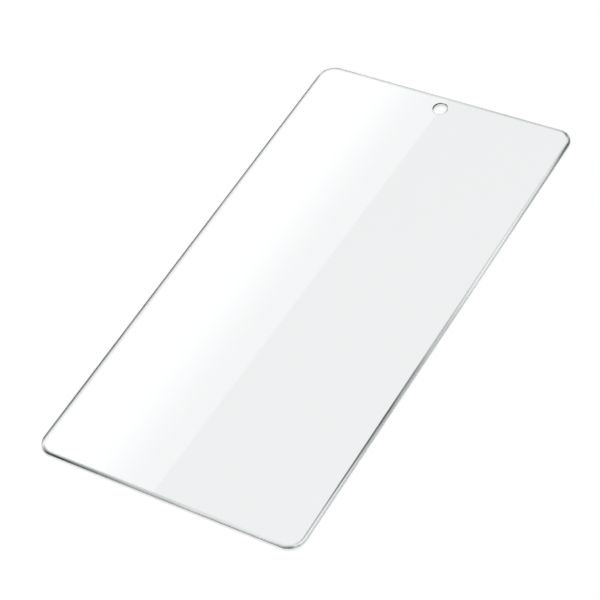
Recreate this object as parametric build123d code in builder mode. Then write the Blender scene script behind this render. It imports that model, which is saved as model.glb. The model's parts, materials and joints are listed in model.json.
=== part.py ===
from build123d import *

import os

# Phone screen protector: one sheet of toughened glass that lies on a phone's front.
# Millimetres. The sheet lies flat with its underside at z = 0 and its outer face up.
# The origin is at the middle of the underside, and +Y runs towards the camera hole.

# Outline of the sheet
sheet_width = 72.4
sheet_length = 134.5
corner_radius = 4.2

# Section of the edge, from the outer face down to the underside
arc_reach = 0.7    # how far in over the outer face the ground arc starts
arc_depth = 0.3    # how far the arc falls before it meets the upright edge
edge_land = 0.12   # upright edge left standing below the arc
seam = 0.08        # small bevel that takes the sharpness off the lower arris

# Hole for the front camera
hole_diameter = 3.8
hole_from_end = 4.0   # from the sheet's upper end to the hole's centre
rim_bevel = 0.08      # bevel on both rims of the hole

# How far the grinding cut stands clear of the glass, outside and above it
cut_clearance = 0.4

# Sizes that follow from those above
sheet_thickness = arc_depth + edge_land + seam
half_width = sheet_width / 2
half_length = sheet_length / 2
hole_place = half_length - hole_from_end

os.makedirs("parts", exist_ok=True)

# Outline of the sheet: one half from the middle of the lower end to the middle of the upper end, then its mirror image
with BuildLine() as outline:
    lower_end = Line((0, -half_length), (half_width - corner_radius, -half_length))
    lower_corner = JernArc(lower_end @ 1, lower_end % 1, corner_radius, 90)
    long_side = Line(lower_corner @ 1, (half_width, half_length - corner_radius))
    upper_corner = JernArc(long_side @ 1, long_side % 1, corner_radius, 90)
    upper_end = Line(upper_corner @ 1, (0, half_length))
    mirror(about=Plane.YZ)

with BuildPart() as glass_sheet:
    # Blank, cut to the outline from flat glass
    with BuildSketch() as blank:
        make_face(outline.edges())
    extrude(amount=sheet_thickness)

    # Ground edge: the waste outside an arc that leaves the outer face smoothly, carried round the outline.
    # Its section is drawn at the middle of the lower end, where the outline runs along X.
    with BuildSketch(Plane.YZ) as waste:
        with BuildLine():
            arc_top = (arc_reach - half_length, sheet_thickness)
            arc_foot = (-half_length, sheet_thickness - arc_depth)
            TangentArc(arc_top, arc_foot, tangent=(-1, 0))
            Polyline(
                arc_foot,
                (-half_length - cut_clearance, sheet_thickness - arc_depth),
                (-half_length - cut_clearance, sheet_thickness + cut_clearance),
                (arc_reach - half_length, sheet_thickness + cut_clearance),
                arc_top,
            )
        make_face()
    sweep(path=outline.wires()[0], mode=Mode.SUBTRACT)

    # Seamed lower arris
    underside = glass_sheet.faces().sort_by(Axis.Z)[0]
    chamfer(underside.outer_wire().edges(), length=seam)

    # Camera hole, drilled through and bevelled on both rims
    with Locations((0, hole_place, sheet_thickness)):
        Hole(radius=hole_diameter / 2)
    rims = glass_sheet.edges(Select.LAST).filter_by(GeomType.CIRCLE)
    chamfer(rims, length=rim_bevel)

glass_sheet.part.label = "glass_sheet"
export_step(glass_sheet.part, "parts/glass_sheet.step")
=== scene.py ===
import json
import math

import bpy
import numpy as np
from mathutils import Matrix, Vector


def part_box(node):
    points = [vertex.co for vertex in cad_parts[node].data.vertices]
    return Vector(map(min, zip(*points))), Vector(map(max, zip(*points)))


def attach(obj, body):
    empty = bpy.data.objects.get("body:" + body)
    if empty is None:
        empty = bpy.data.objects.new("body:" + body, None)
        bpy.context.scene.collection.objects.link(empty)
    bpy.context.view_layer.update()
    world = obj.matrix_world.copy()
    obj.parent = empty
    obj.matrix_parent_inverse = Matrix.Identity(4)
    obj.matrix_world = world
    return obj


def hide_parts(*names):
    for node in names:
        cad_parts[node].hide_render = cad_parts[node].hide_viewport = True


# Phone screen protector: one clear sheet of toughened glass that lies on a white table.
# Metres. The sheet's frame: underside at z = 0, outer face up, +Y towards the camera hole.

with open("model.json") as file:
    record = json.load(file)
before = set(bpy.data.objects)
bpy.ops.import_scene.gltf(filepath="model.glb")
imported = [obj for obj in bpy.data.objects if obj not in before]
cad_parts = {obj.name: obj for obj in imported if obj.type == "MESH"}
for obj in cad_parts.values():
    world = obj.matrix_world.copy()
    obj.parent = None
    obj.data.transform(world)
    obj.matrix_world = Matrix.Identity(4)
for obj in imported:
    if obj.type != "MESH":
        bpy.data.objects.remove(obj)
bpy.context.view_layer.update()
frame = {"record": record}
MM = 0.001
BLACK = (0.0, 0.0, 0.0, 1.0)

# Sheet, read from the frame
sheet_low, sheet_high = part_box("glass_sheet")
sheet_width, sheet_length, sheet_thickness = sheet_high - sheet_low
camera_hole = next(m for m in frame["record"]["mounts"] if m["name"] == "camera_hole")
hole_centre = np.array(camera_hole["pos_m"][:2])
hole_radius = camera_hole["dims"]["r_mm"] * MM
rim_bevel = (sheet_thickness - camera_hole["dims"]["length_mm"] * MM) / 2

# Edge of the sheet
CORNER_RADIUS = 4.2 * MM
ARC_REACH = 0.7 * MM
ARC_DEPTH = 0.3 * MM
SEAM = 0.08 * MM

# Painted shade and painted reflections of the edge, in light and dark stretches: (place, inner, middle,
# outer), where the last three are how light the tint is near the arc's start, half way down it and at its
# foot. The place counts the sides from the lower right corner counter-clockwise, and each side's corner is
# the last fifth of its count.
CORNER_SHARE = 0.2
PAINTED_EDGE_STRETCHES = (
    # Right side and upper right corner
    (0.02, 0.50, 1.00, 0.75), (0.10, 0.20, 0.90, 0.70), (0.18, 0.00, 0.35, 0.75), (0.26, 0.10, 0.35, 0.70),
    (0.36, 0.45, 0.50, 0.70), (0.43, 0.55, 0.70, 0.70), (0.50, 0.65, 1.00, 0.95), (0.58, 0.75, 1.00, 0.80),
    (0.66, 0.75, 0.90, 0.40), (0.74, 0.80, 0.70, 0.20), (0.80, 0.65, 0.00, 0.40), (0.85, 0.85, 0.20, 0.30),
    (0.88, 0.75, 0.35, 0.35), (0.90, 0.30, 0.55, 0.65), (0.93, 0.30, 0.20, 0.45), (0.97, 0.65, 0.40, 0.40),
    # Upper end and upper left corner
    (1.02, 0.70, 0.50, 0.40), (1.20, 0.70, 0.50, 0.40), (1.40, 0.80, 0.55, 0.45), (1.70, 0.75, 0.50, 0.45),
    (1.83, 0.60, 0.35, 0.35), (1.95, 0.75, 0.10, 0.00), (1.98, 0.85, 0.80, 0.80),
    # Left side and lower left corner
    (2.01, 0.65, 0.05, 0.00), (2.40, 0.55, 0.00, 0.00), (2.74, 0.45, 0.00, 0.00), (2.82, 0.40, 0.00, 0.00),
    (2.86, 0.85, 0.40, 0.20), (2.89, 0.90, 0.90, 0.80), (2.93, 0.40, 0.45, 0.60), (2.97, 0.55, 0.00, 0.30),
    # Lower end and lower right corner
    (3.03, 0.70, 0.10, 0.00), (3.10, 0.60, 0.20, 0.05), (3.22, 0.65, 0.40, 0.35), (3.36, 0.70, 0.50, 0.40),
    (3.50, 0.80, 0.70, 0.45), (3.74, 0.95, 0.75, 0.35), (3.80, 0.90, 0.60, 0.20), (3.85, 0.85, 0.25, 0.25),
    (3.88, 0.85, 0.30, 0.25), (3.905, 0.85, 0.80, 0.80), (3.925, 0.65, 0.85, 0.50), (3.95, 0.60, 1.00, 0.85),
)
# The stretches lie at these depths of the arc, and the painted shade spreads onto the face towards the arc
# over this reach. Below the arc the painted shade is this share of that at the arc's foot.
STRETCH_DEPTHS = (0.2, 0.5, 1.0)
DARKENING_REACH = 0.3 * MM
LAND_SHARE = 0.5

# Painted shade: a faint grey line on the face along the start of the arc, as (place, how light the tint is).
# It lies in a band of this reach, and is full from this depth on, where the band runs from depth -1 to 0.
PAINTED_FAINT_LINE = ((1.88, 1.00), (2.02, 0.95), (2.30, 0.90), (2.70, 0.85), (2.84, 0.90), (2.88, 1.00))
BAND_REACH = 0.85 * MM
FAINT_FULL = -0.75

# Painted shade round the hole's wall, in light and dark stretches: (turn, how light the tint is),
# counter-clockwise from the right. At its upper rim the painted shade is this share of that in the wall.
PAINTED_HOLE_STRETCHES = (
    (0.00, 0.00), (0.15, 0.00), (0.25, 0.35), (0.40, 0.35), (0.45, 0.00),
    (0.58, 0.00), (0.63, 0.60), (0.67, 1.00), (0.90, 1.00), (0.95, 0.40),
)
UPPER_RIM_SHARE = 0.5

# Tints of the glass: its face's own, the green that the painted shade bends towards, and the darkest painted
# shade
FACE_TINT = (0.948, 0.965, 0.971, 1.0)
PAINTED_SHADE_GREEN = (0.000, 0.012, 0.010, 1.0)
DARKEST_PAINTED_TINT = (0.004, 0.005, 0.005, 1.0)
GLASS_IOR = 1.5

# How far the painted shade of the edge drifts, and the clouds that it drifts by: clouds to the metre, and the
# levels of a cloud between which it drifts
EDGE_DRIFT = 0.08
DRIFT_CLOUDS = 90.0
DRIFT_LEVELS = (0.3, 0.7)

# The edge is finely ground from this depth of the arc, up to this roughness at its foot
GROUND_FROM = 0.8
GROUND_ROUGHNESS = 0.55

# Painted glow: after this many mirrorings the glass glows green, for light caught between the faces
GLOW_AFTER_MIRRORINGS = 3
PAINTED_GLOW_COLOUR = (0.22, 0.32, 0.29, 1.0)

# Fineness of the sheet's mesh: columns round the outline, rings across the section
LONG_SIDE_COLUMNS = 64
SHORT_SIDE_COLUMNS = 72
CORNER_COLUMNS = 24
ARC_RINGS = 16
FACE_RINGS = 9
FACE_RING_CROWDING = 1.5
BAND_RINGS = 8

# Camera of the picture
CAMERA_AZIMUTH = math.radians(43.643)
CAMERA_ELEVATION = math.radians(47.852)
CAMERA_ROLL = math.radians(-16.58)
CAMERA_DISTANCE = 544.6 * MM
CAMERA_TARGET = Vector((-1.029 * MM, -4.574 * MM, 0.0))
CAMERA_LENS = 137.47

# Table top
TABLE_SIZE = 6.0
TABLE_GAP = 0.05 * MM
TABLE_PAINT = (0.85, 0.85, 0.85, 1.0)
TABLE_GLOW = 0.48
TABLE_THROUGH_GLASS = 0.952

# Studio: what it shows in glass where no light is, what it sheds on the table, and what the camera sees of it
STUDIO_DARK = 0.1
EVEN_LIGHT = 0.52
STUDIO_SEEN = 1.0

# Window that the outer face mirrors: directions to the two ends of its crisp bar, its parts across the bar as
# (out, full, level), and its far side, foot and top as (out, full)
MIRRORED_BAR_TOP = (-251.3, 332.1, 403.8)
MIRRORED_BAR_FOOT = (-254.3, 202.1, 403.8)
WINDOW_DIM = (-0.095, -0.08, 0.4)
WINDOW_BAR = (-0.0004, 0.0004, 0.7)
WINDOW_BRIGHT = (0.005, 0.035, 1.5)
WINDOW_FAR_SIDE = (0.25, 0.18)
WINDOW_FOOT = (0.1, 0.25)
WINDOW_TOP = (0.85, 0.72)

# Lights of the studio: (level, limits). A limit is (axis, out, full): the part of a direction along the axis
# at which the light is out, and at which full.
STUDIO_LIGHTS = (
    # Broad light on the right
    (1.2, (
        ((0.0, 1.0, 0.0), 0.28, 0.36),
        ((0.0, -1.0, 0.0), -0.64, -0.56),
        ((0.981, 0.0, 0.195), -0.10, 0.10),
        ((-0.47, 0.0, 0.883), -0.10, 0.10),
    )),
    # Light high in front on the left
    (1.5, (
        ((1.0, 0.0, 0.0), -0.54, -0.45),
        ((-1.0, 0.0, 0.0), 0.33, 0.40),
        ((0.0, -0.951, 0.309), -0.10, 0.10),
        ((0.0, 0.574, 0.819), 0.0, 0.38),
    )),
    # Light low on the left
    (1.5, (
        ((0.375, -0.927, 0.0), -0.58, -0.53),
        ((-0.94, 0.342, 0.0), 0.61, 0.66),
        ((0.0, 0.0, -1.0), -0.75, -0.68),
        ((0.0, 1.0, 0.0), -0.30, 0.15),
    )),
    # Light low at the back
    (1.2, (
        ((1.0, 0.0, 0.0), -0.50, -0.46),
        ((-1.0, 0.0, 0.0), 0.26, 0.36),
        ((0.0, 0.0, -1.0), -0.60, -0.50),
        ((0.0, 1.0, 0.0), 0.60, 0.65),
    )),
    # Dim light low at the back on the left
    (0.75, (
        ((-1.0, 0.0, 0.0), 0.52, 0.60),
        ((0.0, 1.0, 0.0), 0.58, 0.66),
        ((0.0, 0.0, -1.0), -0.50, -0.35),
    )),
    # Dim light low at the back on the right
    (0.75, (
        ((1.0, 0.0, 0.0), -0.20, 0.10),
        ((-1.0, 0.0, 0.0), -0.75, -0.55),
        ((0.0, 1.0, 0.0), 0.30, 0.50),
        ((0.0, 0.0, -1.0), -0.50, -0.35),
    )),
    # Dim light low in front on the right, and what its brighter half adds
    (0.75, (
        ((0.6, -0.8, 0.0), -0.50, -0.20),
        ((0.0, 0.0, -1.0), -0.50, -0.35),
    )),
    (0.35, (
        ((0.707, 0.707, 0.0), -0.10, 0.10),
        ((0.6, -0.8, 0.0), -0.10, 0.10),
        ((0.0, 0.0, -1.0), -0.50, -0.35),
    )),
    # Round light overhead
    (1.5, (
        ((0.0, 0.0, 1.0), 0.955, 0.975),
    )),
)
SUN_FROM = (-0.475, 0.795, 0.55)
SUN_SPREAD = math.radians(14)
SUN_STRENGTH = 1.35


def outline_columns():
    """Skeleton points, outward normals and places of the columns round the outline, counter-clockwise.

    The outline is the rectangle through the four corner centres, grown outwards along its normal. Along a
    side the skeleton point runs from one corner centre to the next and the normal stands still. Round a
    corner the point rests on the corner centre and the normal turns through a right angle.
    """
    reach = (sheet_width / 2 - CORNER_RADIUS, sheet_length / 2 - CORNER_RADIUS)
    centres = np.array([(1, -1), (1, 1), (-1, 1), (-1, -1)]) * reach
    points = []
    turns = []
    places = []
    for side in range(4):
        side_columns = (LONG_SIDE_COLUMNS, SHORT_SIDE_COLUMNS)[side % 2]
        along = np.arange(side_columns)[:, None] / side_columns
        start = centres[side]
        end = centres[(side + 1) % 4]
        points += [start + along * (end - start), np.tile(end, (CORNER_COLUMNS, 1))]
        turned = np.arange(CORNER_COLUMNS) / CORNER_COLUMNS
        turns += [np.full(side_columns, side), side + turned]
        places += [side + (1 - CORNER_SHARE) * along[:, 0], side + 1 - CORNER_SHARE * (1 - turned)]
    angles = np.concatenate(turns) * math.pi / 2
    normals = np.column_stack([np.cos(angles), np.sin(angles)])
    return np.concatenate(points), normals, np.concatenate(places)


def rim_directions(outline):
    """Directions from the hole's centre in which each column meets the rim.

    Half way between the direction in which the column's outline point is seen from the hole and an even
    spread round the rim, so that the columns neither cross nor bunch up.
    """
    away = outline - hole_centre
    seen = np.unwrap(np.arctan2(away[:, 1], away[:, 0]))
    even = 2 * math.pi * np.arange(len(outline)) / len(outline)
    angles = (seen + even + np.mean(seen - even)) / 2
    return np.column_stack([np.cos(angles), np.sin(angles)])


def section_rings():
    """Rings across the sheet's section, and what holds at the two ends of each strip between two rings.

    The section runs from the hole's upper rim over the outer face, round the edge, back under the sheet and
    up the wall of the hole. A ring is (share, growth, inset, height): share is 0 on the hole, 1 on the edge
    and between them on the faces, growth is how far the ring stands outside the hole's wall, and inset how
    far it stands inside the outline. The edge is an arc that leaves the outer face smoothly, of radius
    (reach² + depth²) / (2 depth).

    A strip's end is (lean, rise, depth, faint, inner, middle, outer, hole). Lean and rise are its normal,
    out of the glass sideways and up. Depth grows from -1 to 0 over the band next to the arc and from 0 to 1
    down the arc, stays 1 below it and is -1 elsewhere. The rest are the weights of the faint line and of the
    stretches there. The faint line holds over most of the band and fades out where the inner stretch lies.
    The inner stretch grows as a square over the darkening reach, up to the start of the arc, goes over into
    the middle one, and that into the outer one.
    """
    top = sheet_thickness
    arc_radius = (ARC_REACH ** 2 + ARC_DEPTH ** 2) / (2 * ARC_DEPTH)
    fall = np.linspace(0, math.asin(ARC_REACH / arc_radius), ARC_RINGS + 1)
    share = (np.arange(FACE_RINGS + 1) / FACE_RINGS) ** FACE_RING_CROWDING
    outer_face = [(s, rim_bevel, ARC_REACH + BAND_REACH, top) for s in share]
    band = [(1, rim_bevel, ARC_REACH + BAND_REACH * (1 - k / BAND_RINGS), top) for k in range(1, BAND_RINGS)]
    arc = [
        (1, rim_bevel, ARC_REACH - arc_radius * math.sin(angle), top - arc_radius * (1 - math.cos(angle)))
        for angle in fall
    ]
    land_foot = [(1, rim_bevel, 0, SEAM)]
    underside = [(s, rim_bevel, SEAM, 0) for s in share[::-1]]
    wall = [(0, 0, SEAM, rim_bevel), (0, 0, SEAM, top - rim_bevel)]
    rings = np.array(outer_face + band + arc + land_foot + underside + wall)

    slope = math.sqrt(0.5)
    depth = np.concatenate([np.arange(BAND_RINGS) / BAND_RINGS - 1, fall / fall[-1]])
    turned = np.concatenate([np.zeros(BAND_RINGS), fall])
    darkening = DARKENING_REACH / BAND_REACH
    grown = np.clip(1 + depth / darkening, 0, 1) ** 2
    faint = np.interp(depth, (-1, FAINT_FULL, 0, STRETCH_DEPTHS[0]), (0, 1, 1, 0))
    middle = np.interp(depth, STRETCH_DEPTHS, (0, 1, 0))
    outer = np.interp(depth, STRETCH_DEPTHS, (0, 0, 1))
    inner = grown - middle - outer
    edge = np.column_stack([np.sin(turned), np.cos(turned), depth, faint, inner, middle, outer, 0 * depth])
    flat = np.array([(0, 1, -1, 0, 0, 0, 0, 0)] * FACE_RINGS)
    below = np.array([
        (1, 0, 1, 0, 0, 0, LAND_SHARE, 0),
        (slope, -slope, 1, 0, 0, 0, LAND_SHARE, 0),
    ])
    under = np.array([(0, -1, -1, 0, 0, 0, 0, 0)] * FACE_RINGS)
    hole = np.array([
        (slope, -slope, -1, 0, 0, 0, 0, 1),
        (1, 0, -1, 0, 0, 0, 0, 1),
        (slope, slope, -1, 0, 0, 0, 0, 1),
    ])
    upper_rim = np.array([(slope, slope, -1, 0, 0, 0, 0, UPPER_RIM_SHARE)])
    start = np.concatenate([flat, edge[:-1], below, under, hole])
    end = np.concatenate([flat, edge[1:], below, under, hole[:-1], upper_rim])
    return rings, start, end


def glass_surface():
    """Points, quads, and each quad corner's normal, depth and shade: one grid, closed both ways.

    A point is (1 - share) times its place on the hole plus share times its place on the edge. The place on
    the hole is the hole's centre plus (radius + growth) along the rim direction. The place on the edge is
    the skeleton point plus (corner radius - inset) along the outline's normal. The painted shade is 1 less
    each stretch's painted darkness, times its weight there, and a stretch runs evenly from one of its rows to
    the next.
    """
    skeleton, normals, places = outline_columns()
    rim = rim_directions(skeleton + CORNER_RADIUS * normals)
    rings, strip_start, strip_end = section_rings()
    share, growth, inset, height = rings.T[:, :, None, None]
    on_hole = hole_centre + (hole_radius + growth) * rim
    on_edge = skeleton + (CORNER_RADIUS - inset) * normals
    plan = (1 - share) * on_hole + share * on_edge
    points = np.concatenate([plan, np.broadcast_to(height, plan.shape[:2] + (1,))], axis=2)

    here = np.arange(len(rings) * len(rim)).reshape(len(rings), len(rim))
    across = np.roll(here, -1, axis=0)
    quads = np.stack([here, across, np.roll(across, -1, axis=1), np.roll(here, -1, axis=1)], axis=2)

    sideways = np.where(share > 0.5, normals, -rim)
    # Painted shade: the edge's stretches, the faint line and the hole's stretches darken the glass's tint
    faint_places, faint_shades = np.array(PAINTED_FAINT_LINE).T
    edge_places, *edge_shades = np.array(PAINTED_EDGE_STRETCHES).T
    hole_turns, hole_shades = np.array(PAINTED_HOLE_STRETCHES).T
    turns = np.arctan2(rim[:, 1], rim[:, 0]) / (2 * math.pi)
    painted_lightness = [np.interp(places, faint_places, faint_shades, period=4)]
    painted_lightness += [np.interp(places, edge_places, shades, period=4) for shades in edge_shades]
    painted_lightness.append(np.interp(turns, hole_turns, hole_shades, period=1))
    painted_darkness = 1 - np.array(painted_lightness)

    def strip_ends(ends):
        lean, rise, depth = np.broadcast_to(ends.T[:3, :, None, None], (3,) + plan.shape[:2] + (1,))
        shade = 1 - ends[:, 3:] @ painted_darkness
        return np.concatenate([lean * sideways, rise, depth, shade[:, :, None]], axis=2)

    start = strip_ends(strip_start)
    end = strip_ends(strip_end)
    corners = np.stack([start, end, np.roll(end, -1, axis=1), np.roll(start, -1, axis=1)], axis=2)
    corners = corners.reshape(-1, 5)
    return points.reshape(-1, 3), quads.reshape(-1, 4), corners[:, :3], corners[:, 3], corners[:, 4]


def make_sheet():
    """The glass sheet: one closed mesh with exact normals, and depth and shade as attributes."""
    points, quads, corner_normals, depth, shade = glass_surface()
    mesh = bpy.data.meshes.new("clear_sheet")
    mesh.from_pydata(points, [], quads)
    mesh.polygons.foreach_set("use_smooth", np.ones(len(quads), bool))
    mesh.normals_split_custom_set(corner_normals)
    for name, values in (("edge_depth", depth), ("painted_edge_shade", shade)):
        attribute = mesh.attributes.new(name, "FLOAT", "CORNER")
        attribute.data.foreach_set("value", values.astype(np.float32))
    sheet = bpy.data.objects.new("clear_sheet", mesh)
    bpy.context.scene.collection.objects.link(sheet)
    return sheet


def new_tree(owner):
    """Empty node tree of a material or a world."""
    owner.use_nodes = True
    owner.node_tree.nodes.clear()
    return owner.node_tree


def add(tree, kind, inputs=None, **settings):
    """Adds a node. inputs gives each named or numbered socket a value, or an output to be linked to it."""
    node = tree.nodes.new(kind)
    for name, value in settings.items():
        setattr(node, name, value)
    for name, value in (inputs or {}).items():
        if isinstance(value, bpy.types.NodeSocket):
            tree.links.new(value, node.inputs[name])
        else:
            node.inputs[name].default_value = value
    return node


def math_node(tree, operation, *values, clamp=False):
    """Output of a Math node."""
    node = add(tree, "ShaderNodeMath", dict(enumerate(values)), operation=operation, use_clamp=clamp)
    return node.outputs["Value"]


def dot_node(tree, vector, direction):
    """Output of a dot product with a fixed direction."""
    node = add(tree, "ShaderNodeVectorMath", {0: vector, 1: direction}, operation="DOT_PRODUCT")
    return node.outputs["Value"]


def ramp_node(tree, value, out, full, most=1.0, least=0.0, smooth=True):
    """Output of a ramp from least at out to most at full."""
    kind = "SMOOTHSTEP" if smooth else "LINEAR"
    inputs = {"Value": value, "From Min": out, "From Max": full, "To Min": least, "To Max": most}
    node = add(tree, "ShaderNodeMapRange", inputs, interpolation_type=kind, clamp=True)
    return node.outputs["Result"]


def mix_colour(tree, factor, low, high):
    """Output of a mix from one colour to another."""
    node = add(tree, "ShaderNodeMix", data_type="RGBA")
    for name, value in (("Factor_Float", factor), ("A_Color", low), ("B_Color", high)):
        socket = next(i for i in node.inputs if i.identifier == name)
        if isinstance(value, bpy.types.NodeSocket):
            tree.links.new(value, socket)
        else:
            socket.default_value = value
    return next(o for o in node.outputs if o.identifier == "Result_Color")


def clear_glass():
    """Clear toughened glass, polished on its faces, arc and hole, and finely ground on its upright edge.

    The painted shade sets the tint: as it grows, the tint leaves the darkest painted tint, bends towards the
    green and ends in the face's. Where the shade is painted darker, it drifts by slow clouds. A ray that has
    been mirrored as many times as is set finds the glass glowing green, a painted glow for light caught
    between the faces.
    """
    material = bpy.data.materials.new("clear_glass")
    material.cycles.emission_sampling = "NONE"
    tree = new_tree(material)
    depth = add(tree, "ShaderNodeAttribute", attribute_name="edge_depth").outputs["Fac"]
    shade = add(tree, "ShaderNodeAttribute", attribute_name="painted_edge_shade").outputs["Fac"]
    place = add(tree, "ShaderNodeTexCoord").outputs["Object"]
    clouds = add(tree, "ShaderNodeTexNoise", {"Vector": place, "Scale": DRIFT_CLOUDS, "Detail": 1.0})
    drift = ramp_node(tree, clouds.outputs["Fac"], *DRIFT_LEVELS, most=EDGE_DRIFT, least=-EDGE_DRIFT)
    # Painted shade of the edge and the hole, which darkens the glass's tint
    painted_darkness = math_node(tree, "SUBTRACT", 1.0, shade)
    shade = math_node(tree, "MULTIPLY_ADD", drift, painted_darkness, shade, clamp=True)
    dark_half = mix_colour(tree, shade, DARKEST_PAINTED_TINT, PAINTED_SHADE_GREEN)
    light_half = mix_colour(tree, shade, PAINTED_SHADE_GREEN, FACE_TINT)
    tint = mix_colour(tree, shade, dark_half, light_half)
    # Painted glow: rays mirrored this many times see the glass glow green, though it is no lamp
    mirrorings = add(tree, "ShaderNodeLightPath").outputs["Glossy Depth"]
    painted_glow_on = math_node(tree, "COMPARE", mirrorings, GLOW_AFTER_MIRRORINGS, 0.5)
    shader = add(tree, "ShaderNodeBsdfPrincipled", {
        "Base Color": tint,
        "Roughness": ramp_node(tree, depth, GROUND_FROM, 1.0, GROUND_ROUGHNESS),
        "IOR": GLASS_IOR,
        "Transmission Weight": 1.0,
        "Emission Color": mix_colour(tree, painted_glow_on, BLACK, PAINTED_GLOW_COLOUR),
        "Emission Strength": 1.0,
    })
    add(tree, "ShaderNodeOutputMaterial", {"Surface": shader.outputs["BSDF"]})
    return material


def table_top():
    """Plain white table top: an even level seen through glass, else paint, with a glow for the camera."""
    material = bpy.data.materials.new("white_table")
    tree = new_tree(material)
    path = add(tree, "ShaderNodeLightPath")
    through = path.outputs["Is Transmission Ray"]
    paint = add(tree, "ShaderNodeBsdfDiffuse", {"Color": mix_colour(tree, through, TABLE_PAINT, BLACK)})
    level = add(tree, "ShaderNodeMix", {
        "Factor": through,
        "A": math_node(tree, "MULTIPLY", path.outputs["Is Camera Ray"], TABLE_GLOW),
        "B": TABLE_THROUGH_GLASS,
    })
    glow = add(tree, "ShaderNodeEmission", {"Strength": level.outputs["Result"]})
    both = add(tree, "ShaderNodeAddShader", {0: paint.outputs[0], 1: glow.outputs[0]})
    add(tree, "ShaderNodeOutputMaterial", {"Surface": both.outputs[0]})

    corners = np.array([(-1, -1), (1, -1), (1, 1), (-1, 1)]) * TABLE_SIZE / 2
    mesh = bpy.data.meshes.new("table_top")
    mesh.from_pydata(np.column_stack([corners, np.full(4, -TABLE_GAP)]), [], [(0, 1, 2, 3)])
    mesh.materials.append(material)
    table = bpy.data.objects.new("table_top", mesh)
    bpy.context.scene.collection.objects.link(table)


def patch_light(tree, direction, level, limits):
    """Light of a patch of the studio: its level, times a ramp from 0 to 1 for each limit."""
    light = level
    for axis, out, full in limits:
        inside = ramp_node(tree, dot_node(tree, direction, axis), out, full)
        light = math_node(tree, "MULTIPLY", light, inside)
    return light


def window_light(tree, direction):
    """Light of the large window that the outer face mirrors: a dim side, a crisp bar, and a bright side.

    Reach is the part of a direction across the bar, and along its part in Y. The three parts of the window
    are ramps over reach. They are added up, and multiplied by a ramp for each of the window's ends.
    """
    top_ray = Vector(MIRRORED_BAR_TOP).normalized()
    foot_ray = Vector(MIRRORED_BAR_FOOT).normalized()
    reach = dot_node(tree, direction, foot_ray.cross(top_ray).normalized())
    along = add(tree, "ShaderNodeSeparateXYZ", {"Vector": direction}).outputs["Y"]
    dim = ramp_node(tree, reach, *WINDOW_DIM)
    past_bar = ramp_node(tree, reach, *WINDOW_BAR, smooth=False)
    bright = ramp_node(tree, reach, *WINDOW_BRIGHT)
    light = math_node(tree, "ADD", math_node(tree, "ADD", dim, past_bar), bright)
    for value, ends in ((reach, WINDOW_FAR_SIDE), (along, WINDOW_FOOT), (along, WINDOW_TOP)):
        light = math_node(tree, "MULTIPLY", light, ramp_node(tree, value, *ends))
    return light


def studio_world():
    """Dark studio with a window and lights, and white where the camera looks straight at it."""
    world = bpy.data.worlds.new("studio")
    bpy.context.scene.world = world
    tree = new_tree(world)
    direction = add(tree, "ShaderNodeTexCoord").outputs["Generated"]
    light = math_node(tree, "ADD", window_light(tree, direction), STUDIO_DARK)
    for level, limits in STUDIO_LIGHTS:
        light = math_node(tree, "ADD", light, patch_light(tree, direction, level, limits))
    path = add(tree, "ShaderNodeLightPath")
    in_glass = math_node(tree, "MAXIMUM", path.outputs["Is Glossy Ray"], path.outputs["Is Transmission Ray"])
    shed = add(tree, "ShaderNodeMix", {"Factor": in_glass, "A": EVEN_LIGHT, "B": light})
    shown = add(tree, "ShaderNodeMix", {
        "Factor": path.outputs["Is Camera Ray"],
        "A": shed.outputs["Result"],
        "B": STUDIO_SEEN,
    })
    background = add(tree, "ShaderNodeBackground", {"Strength": shown.outputs["Result"]})
    add(tree, "ShaderNodeOutputWorld", {"Surface": background.outputs[0]})


def low_sun():
    """Soft low lamp that gives the sheet its shadow on the table. Glass doesn't mirror it."""
    data = bpy.data.lights.new("low_sun", "SUN")
    data.energy = SUN_STRENGTH
    data.angle = SUN_SPREAD
    sun = bpy.data.objects.new("low_sun", data)
    sun.rotation_euler = Vector(SUN_FROM).to_track_quat("Z", "Y").to_euler()
    sun.visible_glossy = False
    sun.visible_transmission = False
    bpy.context.scene.collection.objects.link(sun)


def picture_camera():
    """Camera that looks at the target from its azimuth, elevation and distance, turned by its roll."""
    back = Vector((
        math.sin(CAMERA_AZIMUTH) * math.cos(CAMERA_ELEVATION),
        -math.cos(CAMERA_AZIMUTH) * math.cos(CAMERA_ELEVATION),
        math.sin(CAMERA_ELEVATION),
    ))
    right = Vector((0, 0, 1)).cross(back).normalized()
    upright = Matrix((right, back.cross(right), back)).transposed()
    data = bpy.data.cameras.new("picture_camera")
    data.lens = CAMERA_LENS
    camera = bpy.data.objects.new("picture_camera", data)
    turned = upright @ Matrix.Rotation(CAMERA_ROLL, 3, "Z")
    camera.matrix_world = Matrix.Translation(CAMERA_TARGET + back * CAMERA_DISTANCE) @ turned.to_4x4()
    bpy.context.scene.collection.objects.link(camera)
    bpy.context.scene.camera = camera


sheet = make_sheet()
sheet.data.materials.append(clear_glass())
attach(sheet, "root")
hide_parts("glass_sheet")

table_top()
studio_world()
low_sun()
picture_camera()
bpy.context.scene.view_settings.view_transform = "Standard"
